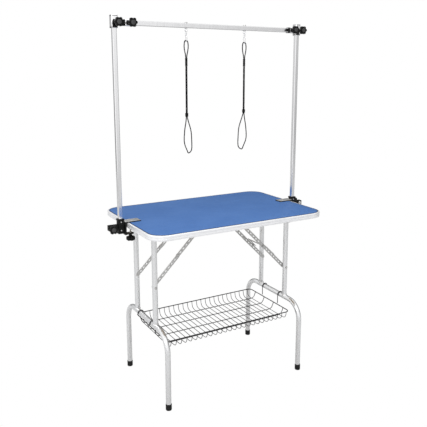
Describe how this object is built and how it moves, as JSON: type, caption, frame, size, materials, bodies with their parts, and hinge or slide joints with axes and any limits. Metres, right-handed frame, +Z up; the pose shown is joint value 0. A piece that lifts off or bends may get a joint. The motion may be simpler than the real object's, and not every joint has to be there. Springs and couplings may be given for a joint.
{
  "type": "grooming table",
  "caption": "Folding pet grooming table with a rubber-topped board, bent-tube legs, wire basket and an overhead frame with hanging nooses.",
  "frame": {"origin": "on the floor under the middle of the tabletop", "axes": "+Z up, +X along the tabletop's long side, -Y towards the front"},
  "size_m": [1.101, 0.61, 1.743],
  "materials": {
    "mat": "fine pebbled blue rubber",
    "board": "sealed fibreboard",
    "trim": "satin extrusion",
    "chrome": "polished stainless tube",
    "tube": "silver powder coat",
    "zinc": "zinc plated steel",
    "wire": "dark coated wire",
    "black_plastic": "moulded black nylon",
    "rubber": "matte black rubber",
    "cord": "braided black cord with a light tracer"
  },
  "bodies": {
    "table": {"tabletop_mat": "mat", "tabletop_board": "board", "edge_trim": "trim", "hinge_rod_left": "zinc", "stay_channel_left": "zinc", "clamp_jaw_left": "zinc", "clamp_socket_left": "black_plastic", "arm_post_left": "chrome", "hinge_bracket_left_front": "zinc", "hinge_bracket_left_rear": "zinc", "hinge_rod_right": "zinc", "stay_channel_right": "zinc", "clamp_jaw_right": "zinc", "clamp_socket_right": "black_plastic", "arm_post_right": "chrome", "hinge_bracket_right_front": "zinc", "hinge_bracket_right_rear": "zinc"},
    "leg_left": {"left_leg_frame": "tube", "foot_left_front": "rubber", "foot_left_rear": "rubber", "basket_hook_left_front": "wire", "basket_hook_left_rear": "wire"},
    "leg_right": {"right_leg_frame": "tube", "foot_right_front": "rubber", "foot_right_rear": "rubber"},
    "basket": {"basket": "wire", "basket_hook_right_front": "wire", "basket_hook_right_rear": "wire"},
    "arm_bar": {"crossbar": "chrome", "corner_sleeve_left": "chrome", "eye_bolt_left": "chrome", "corner_sleeve_right": "chrome", "eye_bolt_right": "chrome"},
    "upper_stay_left_front": {"upper_stay_left_front": "zinc"},
    "upper_stay_left_rear": {"upper_stay_left_rear": "zinc"},
    "lower_stay_left_front": {"lower_stay_left_front": "zinc"},
    "lower_stay_left_rear": {"lower_stay_left_rear": "zinc"},
    "upper_stay_right_front": {"upper_stay_right_front": "zinc"},
    "upper_stay_right_rear": {"upper_stay_right_rear": "zinc"},
    "lower_stay_right": {"lower_stay_right": "zinc"},
    "top_knob_left_outer": {"top_knob_left_outer": "black_plastic"},
    "top_knob_left_inner": {"top_knob_left_inner": "black_plastic"},
    "post_lock_knob_left": {"post_lock_knob_left": "black_plastic"},
    "clamp_pad_left": {"clamp_pad_left": "rubber"},
    "clamp_screw_left": {"clamp_screw_left": "black_plastic"},
    "noose_left": {"snap_hook_left": "chrome", "cord_top_loop_left": "cord", "noose_ferrule_left": "black_plastic", "cord_noose_left": "cord"},
    "noose_slide_left": {"noose_slide_left": "black_plastic"},
    "top_knob_right_outer": {"top_knob_right_outer": "black_plastic"},
    "top_knob_right_inner": {"top_knob_right_inner": "black_plastic"},
    "post_lock_knob_right": {"post_lock_knob_right": "black_plastic"},
    "clamp_pad_right": {"clamp_pad_right": "rubber"},
    "clamp_screw_right": {"clamp_screw_right": "black_plastic"},
    "noose_right": {"snap_hook_right": "chrome", "cord_top_loop_right": "cord", "noose_ferrule_right": "black_plastic", "cord_noose_right": "cord"},
    "noose_slide_right": {"noose_slide_right": "black_plastic"}
  },
  "joints": [
    {"name": "left_leg_fold", "type": "hinge", "parent": "table", "child": "leg_left", "pos_m": [-0.368, 0, 0.795], "axis": [0, -1, 0], "range_deg": [0, 90]},
    {"name": "upper_stay_left_front_fold", "type": "hinge", "parent": "table", "child": "upper_stay_left_front", "pos_m": [-0.118, 0, 0.795], "axis": [0, 1, 0], "range_deg": [0, 45]},
    {"name": "upper_stay_left_rear_fold", "type": "hinge", "parent": "table", "child": "upper_stay_left_rear", "pos_m": [-0.118, 0, 0.795], "axis": [0, 1, 0], "range_deg": [0, 45]},
    {"name": "lower_stay_left_front_fold", "type": "hinge", "parent": "leg_left", "child": "lower_stay_left_front", "pos_m": [-0.368, 0, 0.545], "axis": [0, -1, 0], "range_deg": [0, 45]},
    {"name": "lower_stay_left_rear_fold", "type": "hinge", "parent": "leg_left", "child": "lower_stay_left_rear", "pos_m": [-0.368, 0, 0.545], "axis": [0, -1, 0], "range_deg": [0, 45]},
    {"name": "right_leg_fold", "type": "hinge", "parent": "table", "child": "leg_right", "pos_m": [0.368, 0, 0.767], "axis": [0, 1, 0], "range_deg": [0, 90]},
    {"name": "upper_stay_right_front_fold", "type": "hinge", "parent": "table", "child": "upper_stay_right_front", "pos_m": [0.118, 0, 0.767], "axis": [0, -1, 0], "range_deg": [0, 45]},
    {"name": "upper_stay_right_rear_fold", "type": "hinge", "parent": "table", "child": "upper_stay_right_rear", "pos_m": [0.118, 0, 0.767], "axis": [0, -1, 0], "range_deg": [0, 45]},
    {"name": "lower_stay_right_fold", "type": "hinge", "parent": "leg_right", "child": "lower_stay_right", "pos_m": [0.368, 0, 0.517], "axis": [0, 1, 0], "range_deg": [0, 45]},
    {"name": "basket_swing", "type": "hinge", "parent": "leg_right", "child": "basket", "pos_m": [0.368, 0, 0.355], "axis": [0, -1, 0], "range_deg": [0, 180]},
    {"name": "crossbar_height", "type": "slide", "parent": "table", "child": "arm_bar", "axis": [0, 0, 1], "range_m": [-0.28, 0]},
    {"name": "top_knob_left_outer_turn", "type": "hinge", "parent": "arm_bar", "child": "top_knob_left_outer", "pos_m": [-0.475, -0.03, 1.7125], "axis": [0, -1, 0], "continuous": true},
    {"name": "top_knob_left_inner_turn", "type": "hinge", "parent": "arm_bar", "child": "top_knob_left_inner", "pos_m": [-0.413, -0.03, 1.7125], "axis": [0, -1, 0], "continuous": true},
    {"name": "post_lock_knob_left_turn", "type": "hinge", "parent": "table", "child": "post_lock_knob_left", "pos_m": [-0.53, 0, 0.822], "axis": [0, -1, 0], "continuous": true},
    {"name": "clamp_pad_left_travel", "type": "slide", "parent": "table", "child": "clamp_pad_left", "axis": [0, 0, -1], "range_m": [0, 0.006]},
    {"name": "clamp_screw_left_turn", "type": "hinge", "parent": "clamp_pad_left", "child": "clamp_screw_left", "pos_m": [-0.436, 0, 0.78], "axis": [0, 0, -1], "range_deg": [0, 1079]},
    {"name": "noose_left_swing", "type": "hinge", "parent": "arm_bar", "child": "noose_left", "pos_m": [-0.1414, 0, 1.6865], "axis": [1, 0, 0], "range_deg": [-45, 45]},
    {"name": "noose_slide_left_travel", "type": "slide", "parent": "noose_left", "child": "noose_slide_left", "axis": [0, 0, 1], "range_m": [0, 0.16]},
    {"name": "top_knob_right_outer_turn", "type": "hinge", "parent": "arm_bar", "child": "top_knob_right_outer", "pos_m": [0.494, -0.03, 1.7125], "axis": [0, -1, 0], "continuous": true},
    {"name": "top_knob_right_inner_turn", "type": "hinge", "parent": "arm_bar", "child": "top_knob_right_inner", "pos_m": [0.447, -0.03, 1.7125], "axis": [0, -1, 0], "continuous": true},
    {"name": "post_lock_knob_right_turn", "type": "hinge", "parent": "table", "child": "post_lock_knob_right", "pos_m": [0.53, 0, 0.822], "axis": [0, 1, 0], "continuous": true},
    {"name": "clamp_pad_right_travel", "type": "slide", "parent": "table", "child": "clamp_pad_right", "axis": [0, 0, -1], "range_m": [0, 0.006]},
    {"name": "clamp_screw_right_turn", "type": "hinge", "parent": "clamp_pad_right", "child": "clamp_screw_right", "pos_m": [0.436, 0, 0.78], "axis": [0, 0, -1], "range_deg": [0, 1079]},
    {"name": "noose_right_swing", "type": "hinge", "parent": "arm_bar", "child": "noose_right", "pos_m": [0.172, 0, 1.6865], "axis": [1, 0, 0], "range_deg": [-45, 45]},
    {"name": "noose_slide_right_travel", "type": "slide", "parent": "noose_right", "child": "noose_slide_right", "axis": [0, 0, 1], "range_m": [0, 0.16]}
  ],
  "couplings": [
    {"joint": "upper_stay_left_front_fold", "follows": "left_leg_fold", "ratio": 0.5},
    {"joint": "upper_stay_left_rear_fold", "follows": "left_leg_fold", "ratio": 0.5},
    {"joint": "lower_stay_left_front_fold", "follows": "left_leg_fold", "ratio": 0.5},
    {"joint": "lower_stay_left_rear_fold", "follows": "left_leg_fold", "ratio": 0.5},
    {"joint": "upper_stay_right_front_fold", "follows": "right_leg_fold", "ratio": 0.5},
    {"joint": "upper_stay_right_rear_fold", "follows": "right_leg_fold", "ratio": 0.5},
    {"joint": "lower_stay_right_fold", "follows": "right_leg_fold", "ratio": 0.5},
    {"joint": "basket_swing", "follows": "right_leg_fold", "ratio": 2},
    {"joint": "clamp_pad_left_travel", "follows": "clamp_screw_left_turn", "m_per_rad": 0.0003183},
    {"joint": "clamp_pad_right_travel", "follows": "clamp_screw_right_turn", "m_per_rad": 0.0003183}
  ]
}
